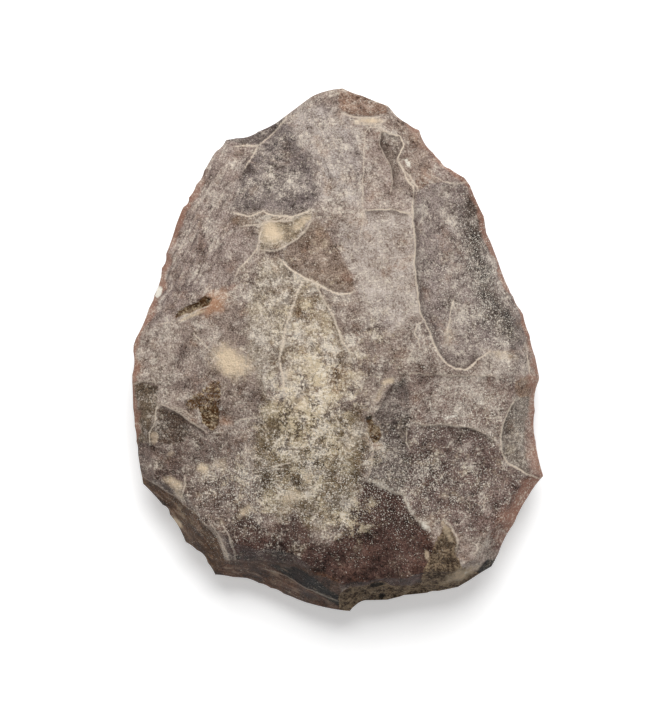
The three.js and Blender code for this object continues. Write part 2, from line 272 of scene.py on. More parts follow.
# Facets of single flakes, each hollowed between its ridges: outline in mm, how deep the hollow is,
# the colour of its bare flint (darkened as painted shade on the rows marked so), how much frost lies
# on it, and how soft its border is in mm
FACETS = [
    ([(-27, 36), (-20, 42), (-15.3, 39.2), (-17, 36), (-18, 34.3), (-19.5, 31), (-20.3, 27), (-19, 23),
      (-15.2, 19), (-19, 15), (-20, 11), (-24, 8), (-33, 5), (-41, 4), (-38, 15), (-32, 28)], 0.2,
      "#98867d", 0.4, 0.8),
    ([(-9.7, 44.9), (-12, 42), (-14, 40), (-15.3, 39.2), (-17, 36), (-18, 34.3), (-19.5, 31),
      (-20.3, 27), (-18, 25.8), (-14, 26.3), (-9, 25.3), (-5, 26.6), (-3, 28), (-4, 33), (-6, 38),
      (-8, 42)], 0.35, "#7a6e69", 0.2, 2.5),
    ([(-22, 40), (-15.3, 39.3), (-14, 40.2), (-12, 42), (-9.9, 44.7), (-13, 45.5), (-19, 43)], 0.3,
      "#6c605b", 0, 0.3),
    ([(-8, 42), (-6, 38), (-4, 33), (-3, 28), (4.5, 27), (4.7, 38), (5, 41), (3, 43), (0.5, 45.3),
      (-6, 48), (-10, 46)], 0.1, "#a99c94", 0.7, 2.5),
    ([(0, 51), (9, 48), (9.3, 45.3), (6, 44.6), (2, 44.8), (0, 46.5)], 0.25, "#967a69", 0.2, 0.4),
    ([(9, 45), (8.4, 42.4), (12, 41), (11.4, 36), (15, 30.4), (18, 31), (20, 34), (20, 40), (14, 44)],
      0.15, "#917d71", 0.3, 0.5),
    ([(18, 33.2), (20, 32.1), (22.5, 31.7), (25, 32.3), (28, 34), (22, 40), (17, 38)], 0.15, "#99847a",
      0.3, 0.5),
    ([(5.2, 41), (8.2, 42), (7.9, 39), (8.5, 37.5), (9.5, 36), (10.3, 32), (9.9, 29.5), (14.1, 29),
      (13.9, 25.9), (10, 26.4), (4.8, 26.4)], 0.1, "#9c8a80", 0.4, 0.25),
    ([(8.2, 42), (7.9, 39), (8.5, 37.5), (9.8, 35), (10.3, 32), (11, 32), (12, 34.5), (11.4, 36),
      (12.5, 39), (11.8, 40.8), (10, 41.2)], 0.25, "#7d6d62", 0, 0.25),
    ([(4.7, 26.2), (10, 26.2), (14, 25.5), (14.5, 20), (14.6, 13), (15.3, 7.5), (10, 3), (5, 8),
      (3.5, 12), (1, 18), (0, 24)], 0.15, "#b2a399", 0.5, 1.2),
    ([(-18.5, 25.6), (-14, 26.2), (-9, 25.1), (-5, 26.4), (-8, 24.8), (-13.5, 24.2), (-18.5, 23.3),
      (-21, 25)], 0.15, "#7a685a", 0.2, 0.3),
    ([(-14.5, 23.8), (-9, 24.4), (-5.2, 26.3), (-5, 24.8), (-8, 20.9), (-10.5, 19.4), (-14.6, 18.8),
      (-14.8, 21)], 0.15, "#8c7b66", 0.2, 0.3),
    ([(-10.5, 18), (-9, 19.8), (-7, 21.6), (-5.5, 23.2), (-3.8, 24.7), (-2.5, 22.5), (0, 18.5),
      (2.5, 14), (3.2, 11.3), (0, 10.7), (-3.5, 12.3), (-6.3, 13.5), (-9, 15.2)], 0.5, "#9a8677", -1.4,
      0.3),
    ([(-11.3, 17.2), (-9, 15), (-6.4, 13.2), (-8.5, 8), (-10.3, 1), (-10.8, -3.5), (-14, -8), (-17, 0),
      (-17, 10), (-14, 16)], 0.1, "#a09180", 0.8, 1.5),
    ([(-6.4, 13.2), (-5, 13.1), (-2.5, 9), (-0.2, 4), (2.5, -0.5), (3, -6), (-2, -12), (-9, -10),
      (-10.8, -3.5), (-10.3, 1), (-8.5, 8)], 0.15, "#a9967f", 0.8, 0.6),
    ([(-14, -9), (-9, -10), (-2, -12), (4, -11), (5.5, -18), (4, -25), (2, -33), (-8, -34), (-14, -30),
      (-16, -20)], 0.1, "#78674f", 0.5, 2.5),
    ([(15.1, 30.2), (17, 31.5), (20, 32), (25, 32), (27, 28), (31, 19), (34, 11), (37, 3), (35, 0),
      (31, 0), (28.5, -0.3), (25.5, -2.8), (22, -3.5), (19, -1), (16, 5), (14.6, 13), (14.3, 24)], 0.35,
      "#90817a", 0.4, 0.3),
    # Painted shade, in part: this dark band lies where the face slopes down to the right, away from the
    # light
    ([(24.5, 30), (27, 28), (29, 22), (28.5, 17), (30.5, 12), (33, 8), (35, 2), (32, 1), (28, 6),
      (25.5, 13), (23.5, 20), (23, 26)], 0.1, "#51453e", 0.1, 4),
    ([(25.5, -3), (28.5, -0.3), (32, -0.3), (36, -1), (36.5, -5), (31, -5), (26, -4.5)], 0.1, "#93847a",
      0.7, 0.5),
    ([(31, -5), (36.5, -4.6), (39, -5), (38.3, -9), (35, -9.6), (33.5, -8), (31, -14), (28, -14),
      (24, -14), (15, -13.5), (13, -8), (13, -4.6), (21, -4.8), (26, -4.7)], 0.2, "#88746a", 0.6, 0.5),
    ([(33.5, -6), (36, -4.9), (38.6, -5), (38.4, -6.5), (37.5, -9), (35, -9.6), (33.7, -8)], 0.1,
      "#957c69", 0.1, 0.3),
    ([(33.8, -9), (32.5, -11), (31, -15), (30.8, -17), (31, -19.5), (32, -21.5), (35, -23),
      (39.3, -24.8), (41, -15), (38.5, -9)], 0.35, "#82756a", 0.4, 0.3),
    ([(36.2, -12), (35.6, -18), (36.5, -23.5), (39.3, -24.8), (41, -15), (39, -11)], 0, "#8d7469", 0.5,
      0.8),
    ([(13, -14.5), (24.5, -14.6), (29.5, -17), (31, -19.5), (32, -21.5), (36, -24), (34, -33),
      (25, -35), (19, -33), (15, -31.5), (12.5, -27), (11, -20)], 0.3, "#735f58", -0.2, 0.4),
    ([(36, -24), (39.6, -24.8), (36, -31), (31, -38), (28, -38), (30, -31)], 0.15, "#6e5248", 0, 0.8),
    ([(4.8, -24.7), (9, -26), (12.3, -27), (14, -31), (17.5, -34.3), (18.5, -38), (17, -45), (6, -44.5),
      (-1, -45), (-6, -41), (-3, -38), (2, -33)], 0.2, "#533d36", -2.5, 1.5),
    ([(-24.8, -15.5), (-30, -12), (-34, -10.4), (-36, -16), (-39.5, -19), (-37, -24.5), (-31, -28),
      (-24.5, -33.5), (-20, -33), (-17, -24), (-18, -17)], 0.2, "#75635a", 0.2, 0.8),
    ([(-34, -11), (-31, -11.6), (-28.5, -13.6), (-28, -16), (-30, -18), (-34, -18), (-35, -15)], 0.15,
      "#55453a", 0, 0.9),
    ([(-39.8, -6), (-37, -6.2), (-34.5, -7), (-34.3, -12), (-35.6, -17.5), (-40, -18)], 0.15, "#6d5d4c",
      0.1, 0.5),
    ([(-14, -34), (-8, -30), (-3, -38), (-2, -41), (-20, -41), (-21, -36), (-19, -28)], 0.15, "#57443d",
      -0.9, 1.5),
    ([(-21, -36), (-15, -34.5), (-9, -36), (-3, -36.5), (-1, -41), (-8, -41), (-20.5, -40.6)], 0,
      "#4d3832", -1, 3),
    # Painted shade, in part: these steep bevels face away from the light, and their brown flint is
    # coloured darker to stand for it
    ([(-37.2, -24.5), (-34, -26), (-31, -28), (-29, -29.5), (-26.5, -31.5), (-24.5, -33.5),
      (-23, -35.5), (-22, -38), (-21, -41), (-21, -48), (-31, -44), (-41, -28)], 0.25, "#5f4531", -3,
      0.3),
    ([(-21.5, -40), (-14, -40.2), (-8, -40.6), (-3, -42), (0, -43.2), (1, -47), (1, -52), (-12, -52),
      (-25, -47)], 0.2, "#604536", -3, 0.3),
    # Painted shade: the steep facet at the lower right of the butt is coloured near black
    ([(26.2, -42.4), (27.4, -41), (28.6, -39.6), (31, -40), (29.5, -44), (26, -44)], 0.2, "#1d1815", -1,
      0.3),
    ([(10.3, -6.2), (13, -5), (13.5, -13), (12.9, -17.5), (13.5, -22), (12, -27), (9, -26), (5, -24.6),
      (6.1, -22.5), (6.8, -18), (8.2, -15), (6.8, -12), (8.6, -9)], 0.1, "#6e615a", 0, 0.8),
    # Painted shade: the deep hollow under the butt is coloured near black
    ([(-13.5, -40.6), (-8, -41), (-4.5, -43), (-2, -45.2), (1, -47.6), (0.4, -49), (-3, -47),
      (-6, -45.2), (-10, -43)], 0.6, "#120c08", -1.5, 0.5),
]

# Rough places, weathered to pits or still under chalky rind: outline in mm, depth (less than 0 where
# the rind stands proud), how rough, how much of the flint they cover, and whether it is rind
ROUGH = [
    ([(-23.9, 9.9), (-24.3, 8.8), (-25.6, 8.0), (-27.2, 7.3), (-29, 6.7), (-31.2, 5.8), (-30.8, 6.8),
      (-28.8, 8.2), (-26.8, 8.9), (-25.2, 10)], 0.9, 0.4, 1, 0),
    ([(-29.5, -10.3), (-27, -8.2), (-25, -7.2), (-23.4, -5.6), (-22.1, -6), (-21.9, -8.6),
      (-22.4, -10.6), (-24, -11), (-26, -11), (-27.6, -11.6)], 0.35, 0.5, 0.55, 0),
    ([(-26.4, -10.4), (-25, -10.9), (-23.4, -10), (-22.5, -11), (-22.3, -12.4), (-22.4, -14.2),
      (-23.8, -15.2), (-25.4, -13.9), (-26, -12.2)], 0.6, 0.7, 1, 0),
    ([(5.4, -12.7), (6.2, -12.7), (6.7, -14), (7.7, -14.4), (8, -15.8), (7.4, -17.3), (6.6, -17.5),
      (5.9, -16.2), (5.5, -14.4)], 0.5, 0.7, 1, 0),
    ([(0.4, -50.5), (0.2, -46.6), (2, -45), (4.5, -44.8), (6, -44.2), (8.5, -43.8), (10.5, -44.8),
      (14, -44.8), (16, -44.2), (18, -46), (17, -48.5), (8, -50), (4, -50.5)], 0.3, 0.6, 1, 1),
    ([(16, -41.6), (17.4, -39), (18.6, -36), (20.2, -33.2), (21.3, -34), (22.8, -36.5), (22.3, -39),
      (23.4, -41), (25.5, -42.2), (27.4, -42.8), (25, -46), (17, -47.5), (16, -44.4)], -0.25, 0.5, 0.9,
      1),
]
SOFT_RIM = 0.8
RAGGED_RIM = 0.25
LUMP_GRAIN = 1.3


def wear(points, grain, octaves=3, seed=0):
    """Fractal unevenness between about -1 and 1 for each point, with grains of a size in mm."""
    return np.array([noise.fractal(Vector((x / grain + seed, y / grain, seed)), 1.0, 2.0, octaves)
                     for x, y in points])


def egg_share(x, y):
    """How far out a point lies, from 0 at the middle to 1 at the rim of a smooth egg."""
    across, along = x / HALF_WIDTH, y / HALF_LENGTH
    return np.sqrt(across ** 2 * np.exp(EGG_TAPER * along) + along ** 2)


def oval_share(x, y, middle, heading, half_long, half_wide, squareness=2):
    """How far out a point lies, from 0 at an oval's middle to 1 at its rim and more outside."""
    turn = math.radians(heading)
    lengthwise = (x - middle[0]) * math.cos(turn) + (y - middle[1]) * math.sin(turn)
    sideways = (y - middle[1]) * math.cos(turn) - (x - middle[0]) * math.sin(turn)
    return np.abs(lengthwise / half_long) ** squareness + np.abs(sideways / half_wide) ** squareness


def smooth_step(value, start, end):
    """0 at the start, 1 at the end, and an S curve between."""
    share = np.clip((value - start) / (end - start), 0, 1)
    return share * share * (3 - 2 * share)


def from_line(x, y, line):
    """A point's distance from a line, its side (plus is right), and how far along it lies, 0 to 1."""
    distance = np.full(x.shape, np.inf)
    side = np.zeros(x.shape)
    along = np.zeros(x.shape)
    line = np.array(line, dtype=float)
    spans = np.diff(line, axis=0)
    lengths = np.hypot(*spans.T)
    starts = np.concatenate([[0], np.cumsum(lengths)])
    for start, span, length, walked_to in zip(line, spans, lengths, starts):
        share = np.clip(((x - start[0]) * span[0] + (y - start[1]) * span[1]) / length ** 2, 0, 1)
        off_x, off_y = x - start[0] - share * span[0], y - start[1] - share * span[1]
        away = np.hypot(off_x, off_y)
        nearer = away < distance
        distance = np.where(nearer, away, distance)
        side = np.where(nearer, np.sign(off_x * span[1] - off_y * span[0]), side)
        along = np.where(nearer, (walked_to + share * length) / starts[-1], along)
    return distance, side, along


def fade_ends(along, taper):
    """0 at both ends of a line and 1 between, with a taper given as a share of its length."""
    return smooth_step(along, 0, taper) * smooth_step(1 - along, 0, taper)


def inside_outline(x, y, outline):
    """How many mm inside a closed outline each point lies, less than 0 outside it."""
    away, _, _ = from_line(x, y, outline + outline[:1])
    crossings = np.zeros(x.shape, dtype=int)
    for (ax, ay), (bx, by) in zip(outline, outline[1:] + outline[:1]):
        spans = (ay > y) != (by > y)
        crossings += spans & (x < ax + (y - ay) * (bx - ax) / (by - ay if by != ay else 1))
    return np.where(crossings % 2 == 1, away, -away)


def from_rim(x, y):
    """Each point's distance from the sharp edge, the edge's height there, and the lowest wall above."""
    distance = np.full(x.shape, float(WALL_REACH))
    foot = np.full(x.shape, float(EDGE_HEIGHT))
    wall = np.full(x.shape, np.inf)
    for index, (_, _, _, slope) in enumerate(CORNERS):
        first, last = corner_stations[index], corner_stations[index + 1]
        stretch = np.arange(first, last + 1) % STATIONS
        lowest, highest = rim[stretch].min(axis=0) - WALL_REACH, rim[stretch].max(axis=0) + WALL_REACH
        near = np.flatnonzero((x > lowest[0]) & (x < highest[0]) & (y > lowest[1]) & (y < highest[1]))
        for start, end in zip(stretch[:-1], stretch[1:]):
            span = rim[end] - rim[start]
            off_x, off_y = x[near] - rim[start][0], y[near] - rim[start][1]
            share = np.clip((off_x * span[0] + off_y * span[1]) / (span @ span), 0, 1)
            away = np.hypot(off_x - share * span[0], off_y - share * span[1])
            height = rim_height[start] + share * (rim_height[end] - rim_height[start])
            along = rim_along[start] + share / (last - first)
            hollow = 1 - FLAKE_HOLLOW * np.sin(math.pi * along)
            rising = math.tan(math.radians(slope)) * hollow * away
            wall[near] = np.minimum(wall[near], height + rising)
            nearer = away < distance[near]
            foot[near] = np.where(nearer, height, foot[near])
            distance[near] = np.where(nearer, away, distance[near])
    return distance, foot, wall


# Small sharpening flakes run in from each bite on the edge: where, heading, sizes and depth in mm
EDGE_FLAKE_RUN = (1.6, 6)
EDGE_FLAKE_DEPTH = (0.08, 0.35)
EDGE_FLAKE_SKEW = 25
FLAKE_INSET = 0.35
FLAKE_OVERLAP = 1.15
edge_flakes = []
for middle, half, _ in bites:
    station = int(middle / perimeter * STATIONS)
    inward = -rim_outward[station]
    run = chance.uniform(*EDGE_FLAKE_RUN)
    skew = chance.uniform(-EDGE_FLAKE_SKEW, EDGE_FLAKE_SKEW)
    heading = math.degrees(math.atan2(inward[1], inward[0])) + skew
    depth = chance.uniform(*EDGE_FLAKE_DEPTH)
    middle = rim[station] + inward * run * FLAKE_INSET
    edge_flakes.append((middle, heading, run, half * FLAKE_OVERLAP, depth))

# Lines and outlines bend a little, crests fade at their ends, and a step falls over 0.5 mm
BEND = 0.22
BEND_GRAIN = 2.5
CREST_SPREAD = 1.6
LINE_TAPER = 0.12
LEAST_CREST = 0.3
STEP = (-0.1, 0.4)
HOLLOW_SPREAD = 2.2


def bend(x, y):
    """The same points moved a little, so that lines and outlines drawn straight come out natural."""
    points = np.column_stack([x, y])
    return x + BEND * wear(points, BEND_GRAIN, 3, 51), y + BEND * wear(points, BEND_GRAIN, 3, 67)


def upper_height(x, y):
    """The worked face's height over each point, its distance from the edge, and shares of pit and rind."""
    distance, foot, wall = from_rim(x, y)
    bent_x, bent_y = bend(x, y)
    toward_butt = smooth_step(-y / HALF_LENGTH, BUTT_STARTS, BUTT_FULL)
    face = SIDE_WALL + (BUTT_WALL - SIDE_WALL) * toward_butt
    dome = (CROWN_RISE - face) * (1 - egg_share(x, y) ** UPPER_ROUNDNESS)
    cut = np.zeros(x.shape)
    for across, along, heading, half_long, half_wide, depth, squareness in SCARS:
        middle = (across * HALF_WIDTH, along * HALF_LENGTH)
        out = oval_share(x, y, middle, heading, half_long * HALF_LENGTH, half_wide * HALF_LENGTH,
                         squareness)
        cut = np.maximum(cut, depth * (1 - out))
    worked = EDGE_HEIGHT + face + dome - cut
    for line, crest, half_wide, drop, reach, _ in RIDGES:
        away, side, along = from_line(bent_x, bent_y, line)
        taper = fade_ends(along, LINE_TAPER)
        raised = np.exp(-(away / (CREST_SPREAD * half_wide)) ** 2)
        worked += crest * raised * np.maximum(taper, LEAST_CREST)
        worked -= drop * np.exp(-away / reach * 2) * smooth_step(side * away, *STEP) * taper
    for outline, hollow, _, _, _ in FACETS:
        depth_in = np.maximum(inside_outline(bent_x, bent_y, outline), 0)
        worked -= hollow * (1 - np.exp(-depth_in / HOLLOW_SPREAD))
    height = np.minimum(worked, wall)
    flaked = np.zeros(x.shape)
    for middle, heading, half_long, half_wide, depth in edge_flakes:
        near = np.flatnonzero(np.hypot(x - middle[0], y - middle[1]) < half_long + half_wide)
        out = oval_share(x[near], y[near], middle, heading, half_long, half_wide)
        flaked[near] = np.maximum(flaked[near], depth * (1 - out))
    height = height - flaked * smooth_step(distance, 0, 1)
    rough_share = np.zeros(x.shape)
    rind_share = np.zeros(x.shape)
    lumps = wear(np.column_stack([x, y]), LUMP_GRAIN, 4, 31)
    for outline, depth, relief, cover, rind in ROUGH:
        depth_in = inside_outline(bent_x, bent_y, outline) + RAGGED_RIM * lumps
        share = smooth_step(depth_in, -SOFT_RIM / 2, SOFT_RIM / 2)
        height = height - share * (depth - relief * lumps)
        rough_share = np.maximum(rough_share, share * cover)
        rind_share = np.maximum(rind_share, share * rind)
    return np.maximum(height, foot + LEAST_WEDGE * distance), distance, rough_share, rind_share


# Mesh of the flint
# One stone, so one closed mesh: a fine grid spread over the worked face and a coarser one over the
# plainer face, joined along the sharp edge. Both grids are a little finer near the edge.
EDGE_CROWDING = 1.15


def station_of(column, row, rings):
    """How many stations round, clockwise from the tip, a ray from the middle to a grid point goes."""
    with np.errstate(divide="ignore", invalid="ignore"):
        share = np.select(
            [(row > 0) & (np.abs(column) <= row), (column > 0) & (np.abs(row) <= column),
             (row < 0) & (np.abs(column) <= -row)],
            [column / row, 2 - row / column, 4 + column / row],
            6 - row / column)
    return np.nan_to_num(share * rings) % (8 * rings)


def add_face(name, rings, outline):
    """A grid spread over the outline, with each vertex's ring from 0 at the middle to 1 at the rim."""
    bpy.ops.mesh.primitive_grid_add(x_subdivisions=2 * rings, y_subdivisions=2 * rings, size=2)
    piece = bpy.context.object
    piece.name = name
    flat = np.zeros(len(piece.data.vertices) * 3)
    piece.data.vertices.foreach_get("co", flat)
    grid = np.rint(flat.reshape(-1, 3)[:, :2] * rings)
    ring = np.abs(grid).max(axis=1)
    station = station_of(grid[:, 0], grid[:, 1], rings)
    whole = np.floor(station).astype(int)
    part = (station - whole)[:, None]
    stations = 8 * rings
    reached = outline[whole % stations] * (1 - part) + outline[(whole + 1) % stations] * part
    outward = 1 - (1 - ring / rings) ** EDGE_CROWDING
    return piece, reached * outward[:, None], ring / rings, np.rint(station).astype(int) % stations


def set_places(piece, places_in_mm):
    piece.data.vertices.foreach_set("co", (places_in_mm * MM).ravel())
    piece.data.update()


upper, upper_places, upper_ring, upper_station = add_face("flint", UPPER_RINGS, rim)
x, y = upper_places.T
upper_z, edge_distance, rough_share, rind_share = upper_height(x, y)
FULL_WEAR = 1.5
UNEVEN_DEPTH = 0.22
UNEVEN_GRAIN = 9
PITTED_DEPTH = 0.05
PITTED_GRAIN = 1.1
inside = smooth_step(edge_distance, 0, FULL_WEAR)
upper_z += inside * UNEVEN_DEPTH * wear(upper_places, UNEVEN_GRAIN)
upper_z += inside * PITTED_DEPTH * wear(upper_places, PITTED_GRAIN, 4, 7)
upper_z = np.where(upper_ring == 1, rim_height[upper_station], upper_z)
set_places(upper, np.column_stack([x, y, upper_z]))

# The plainer face is a shallow bowl of broad scars, worn flat where the flint rests
REST_BULGE = 1.3
LOWER_WALL = 1.4
LOWER_SLOPE = 31
LOWER_ROUNDNESS = 2.1
LOWER_SCARS = 13
LOWER_SCAR_DEPTH = 0.9
LOWER_SCAR_REACH = 0.7
LOWER_SCAR_LENGTH = 0.3
LOWER_SCAR_WIDTH = 0.2
LOWER_SCAR_VARIETY = 0.3
LOWER_SCAR_SQUARENESS = 2.2
LOWER_RIDGE = 0.05
GOLDEN_ANGLE = math.pi * (3 - math.sqrt(5))
LOWER_INSET = 0.12
LOWER_FLAKE_SKEW = 20
LOWER_FLAKE_RUN = 0.8


def lower_height(x, y):
    """The plainer face's height over each point, its scars' depth, and how near to a ridge it lies."""
    distance, foot, _ = from_rim(x, y)
    bowl = -REST_BULGE + (EDGE_HEIGHT - LOWER_WALL + REST_BULGE) * egg_share(x, y) ** LOWER_ROUNDNESS
    cut = np.zeros(x.shape)
    next_cut = np.full(x.shape, -np.inf)
    for scar in range(LOWER_SCARS):
        turn = scar * GOLDEN_ANGLE
        middle = (LOWER_SCAR_REACH * HALF_WIDTH * math.cos(turn),
                  LOWER_SCAR_REACH * HALF_LENGTH * math.sin(turn))
        size = 1 + LOWER_SCAR_VARIETY * math.cos(turn * LOWER_SCARS)
        out = oval_share(x, y, middle, math.degrees(turn), LOWER_SCAR_LENGTH * size * HALF_LENGTH,
                         LOWER_SCAR_WIDTH * size * HALF_LENGTH, LOWER_SCAR_SQUARENESS)
        this_cut = LOWER_SCAR_DEPTH * size * (1 - out)
        next_cut = np.maximum(next_cut, np.minimum(cut, this_cut))
        cut = np.maximum(cut, this_cut)
    flaked = np.zeros(x.shape)
    for middle, heading, half_long, half_wide, depth in edge_flakes:
        out = oval_share(x, y, middle, heading + LOWER_FLAKE_SKEW, half_long * LOWER_FLAKE_RUN, half_wide)
        flaked = np.maximum(flaked, depth * (1 - out))
    wall = foot - math.tan(math.radians(LOWER_SLOPE)) * distance
    worked = np.maximum(bowl + cut, wall) + flaked * smooth_step(distance, 0, 1)
    ridge = np.exp(-(cut - next_cut) / LOWER_RIDGE)
    return np.maximum(0, np.minimum(worked, foot - LEAST_WEDGE * distance)), cut, ridge


lower_outline = rim[::FINER] - LOWER_INSET * rim_outward[::FINER]
lower, lower_places, lower_ring, lower_station = add_face("flint_below", LOWER_RINGS, lower_outline)
lower_z, lower_cut, lower_ridge = lower_height(*lower_places.T)
lower_z = np.where(lower_ring == 1, rim_height[lower_station * FINER] - LOWER_INSET, lower_z)
set_places(lower, np.column_stack([lower_places, lower_z]))
lower.data.flip_normals()

# Stains and patina on the worked face
# Long burial left this flint mauve grey under a pale frost, with cream mottles and worn pale ridges.
# Its thin red-brown edges carry a painted glow of light shining through, and its steep walls at the
# butt are painted partly dark as shade.
def linear(code, alpha=1):
    """An sRGB hex colour as the linear values that a shader takes."""
    channels = [int(code[i:i + 2], 16) / 255 for i in (1, 3, 5)]
    return tuple(c / 12.92 if c <= 0.04045 else ((c + 0.055) / 1.055) ** 2.4 for c in channels) + (alpha,)


# Each row: middle in mm, heading in degrees, half length, half width, strength, and softness where
# it isn't the usual one
STAINS = {"cream": [
    (-20.2, -2.2, -35, 3.4, 2.4, 1.25, 1), (-12.4, 22.2, 20, 2.1, 2.2, 1.1, 0.8),
    (-7, 23.8, 40, 2.8, 0.9, 0.7, 0.6), (5.9, 43.6, 3, 2.9, 0.55, 0.85, 0.8),
    (9.3, -5.9, 20, 1.3, 0.6, 0.8, 0.6), (7.6, -8.4, 62, 2.6, 0.7, 0.55),
    (5.6, -15.5, 80, 2.2, 0.5, 0.5), (23.2, -42.7, 20, 3.4, 1.1, 0.9),
    (20.6, -34.4, -65, 2.2, 0.7, 0.7, 0.5), (16.8, -38.8, -80, 1.2, 0.5, 0.7, 0.6),
    (-25.7, -22.3, 0, 1.2, 1, 0.9, 0.8), (-22.2, -21.5, 0, 1.7, 1.3, 0.5, 0.8),
    (-7, -10, 60, 2.4, 1.4, 0.5), (-9.2, -4.5, 80, 1.6, 0.8, 0.55), (2.5, -17, 70, 3, 1.6, 0.5),
    (-23.4, -13.6, 60, 1.3, 0.7, 0.45), (-27.6, 6.5, 22, 3, 0.35, 0.8, 0.8),
    (-28.4, 7.3, 24, 1.8, 0.5, 0.5), (-26.4, 8, 22, 1.2, 0.3, 0.4), (6.9, -15.2, 60, 1.1, 0.5, 0.6),
    (-17.7, -30.5, 45, 2, 0.9, 0.7, 0.8), (-34.9, -16.6, 80, 1.4, 0.7, 0.6, 0.6),
    (-31.2, -25.2, -25, 2, 1, 0.75, 0.8), (-30.2, -27.2, -60, 1.4, 0.8, 0.6, 0.8),
    (-31.7, -19.7, 0, 0.8, 0.7, 0.5), (-9, -27.9, 30, 2.2, 1.6, 0.6), (-5.5, -24, 80, 1.8, 1.2, 0.5),
    (-30.7, -33, -45, 1.6, 0.6, 0.8, 0.6), (31, -0.9, -10, 3.4, 0.9, 0.5, 0.8),
    (20.8, 2.6, 80, 2.6, 1.2, 0.4, 1), (13, 33, -50, 2, 0.8, 0.3, 0.7),
], "chalk": [
    (13.3, 35.5, -55, 1.1, 0.5, 0.7), (-34.3, 11.2, 75, 1.2, 0.55, 1, 0.6),
    (1.6, 45.2, -20, 0.6, 0.2, 0.6), (2.3, 43.9, -35, 0.5, 0.2, 0.6),
    (21.2, -12.6, 12, 2.2, 0.35, 0.6, 0.8), (16.4, -33.3, -45, 1.7, 0.7, 0.6),
    (8.5, -25.6, -25, 3.8, 0.8, 0.5), (13.4, -29.6, -62, 3.2, 0.7, 0.5), (-22, -11, 60, 0.6, 0.35, 0.6),
    (24.4, -42.3, 25, 1.2, 0.4, 0.5),
], "orange": [
    (-23.5, 9, 35, 3.2, 2.1, 0.95, 1), (-21.3, -13.6, 0, 1.8, 1.1, 0.6),
    (-23.5, -6.4, 20, 1.6, 0.8, 0.5), (7.3, -18, 0, 1.2, 0.8, 0.6),
], "frost": [
    (-2, 40, 75, 10, 8, 0.7, 1), (-9, 33, 60, 9, 5, 0.4), (1, 28, 90, 9, 5, 0.8),
    (9, 18, 90, 9, 5, 0.8), (-30, 16, 65, 14, 6, 0.45), (-16, 10, 70, 10, 6, 0.6),
    (-4, 0, 80, 12, 8, 0.85), (8, -2, 80, 9, 6, 0.9), (20, 2, 80, 12, 6, 0.6),
    (29, -1.5, 10, 6, 2.5, 0.9), (24, 1, -20, 6, 2.4, 1.2), (-15, -25, 20, 14, 9, 0.3),
    (-19, -33, -40, 6, 3, 1), (-14.5, -38.3, 5, 2.8, 1, 1.8), (11, -28, -45, 9, 2.4, 1),
    (26, -24, -20, 10, 6, 0.5), (18, -12, 0, 8, 3, 0.7), (35, -15, 90, 7, 3, 0.6),
], "mottle": [
    (-5, -11, 85, 16, 8, 1, 0.8), (-4, -27, 80, 5, 3, 0.65), (-18, -26, 25, 9, 5, 0.6),
    (22, -22, 0, 12, 8, 0.3), (-8, 6, 75, 12, 6, 0.7), (-13, 12, 60, 6, 4, 0.5),
    (2.5, -31.5, 30, 5, 3.4, 1), (-15, -29, 50, 5, 3.4, 0.65), (6, -20, 80, 6, 3, 0.6),
    (5, 0, 80, 8, 5, 0.4),
], "ruddy_and_edge_glow": [
    (4, 47.6, -25, 4, 1.6, 0.35, 0.7), (38.2, -20, -85, 6, 2.2, 0.8), (14, 43.5, -50, 8, 1.4, 0.7),
    (21.5, 36.5, -42, 3.5, 1.4, 0.8), (37, -27.2, 55, 4, 2.6, 1.3, 0.8), (34, -31.4, 58, 5.5, 2.2, 1.1),
    (28.8, 21, -65, 4, 0.9, 1, 0.6), (-19.8, 11.8, 50, 1.6, 0.8, 0.6, 0.8),
    (-20.8, -13.7, 0, 1.6, 1, 0.5), (1.6, 13.6, 0, 1.8, 1.6, 0.5),
    (37.4, -6.6, -60, 2.4, 1.5, 0.9, 0.8), (6, -38, 0, 10, 4, 0.3), (-6, -34, 40, 8, 4, 0.35),
], "painted_shade": [
    # Painted shade: near black in holes, inside the pits under their upper rims, beside the flap and under
    # the hinge at the tip
    (5.8, -12.8, 0, 0.7, 0.5, 1, 0.5), (7.3, -44.5, 10, 1.8, 0.6, 1, 0.5),
    (8.4, -47, 60, 0.8, 0.6, 1, 0.5), (-24.6, 9.3, 60, 0.8, 0.4, 0.8, 0.6),
    (-26.2, 8.7, 28, 1.8, 0.35, 0.7, 0.8), (6.9, -13.8, 10, 0.6, 0.25, 0.8, 0.6),
    (-24.9, -11.3, 20, 1.3, 0.8, 0.6, 1), (-22.7, -10.6, 80, 1.6, 0.35, 0.6, 0.8),
    (-26.4, -9.2, 35, 3, 1.2, 0.5, 1), (-24.3, -12.9, 60, 0.9, 0.3, 0.7), (7.6, -9.9, 55, 3, 0.25, 0.7),
    (7.1, -16.6, 60, 0.6, 0.35, 0.8, 0.7), (8.4, -8.8, 62, 3, 0.2, 0.6, 0.8),
    (2, 45, 0, 1.6, 0.4, 0.6, 0.7),
], "specks": [
    (8, -25, 0, 32, 11, 1, 0.8), (6, -38, 0, 14, 5, 0.25), (28, 12, -75, 18, 6, 1, 0.8),
    (-16, -26, 20, 14, 11, 1, 0.8), (18, 4, 80, 20, 6, 0.6), (24, -14, 0, 14, 9, 0.9, 0.8),
    (0, 20, 90, 25, 14, 0.3),
]}

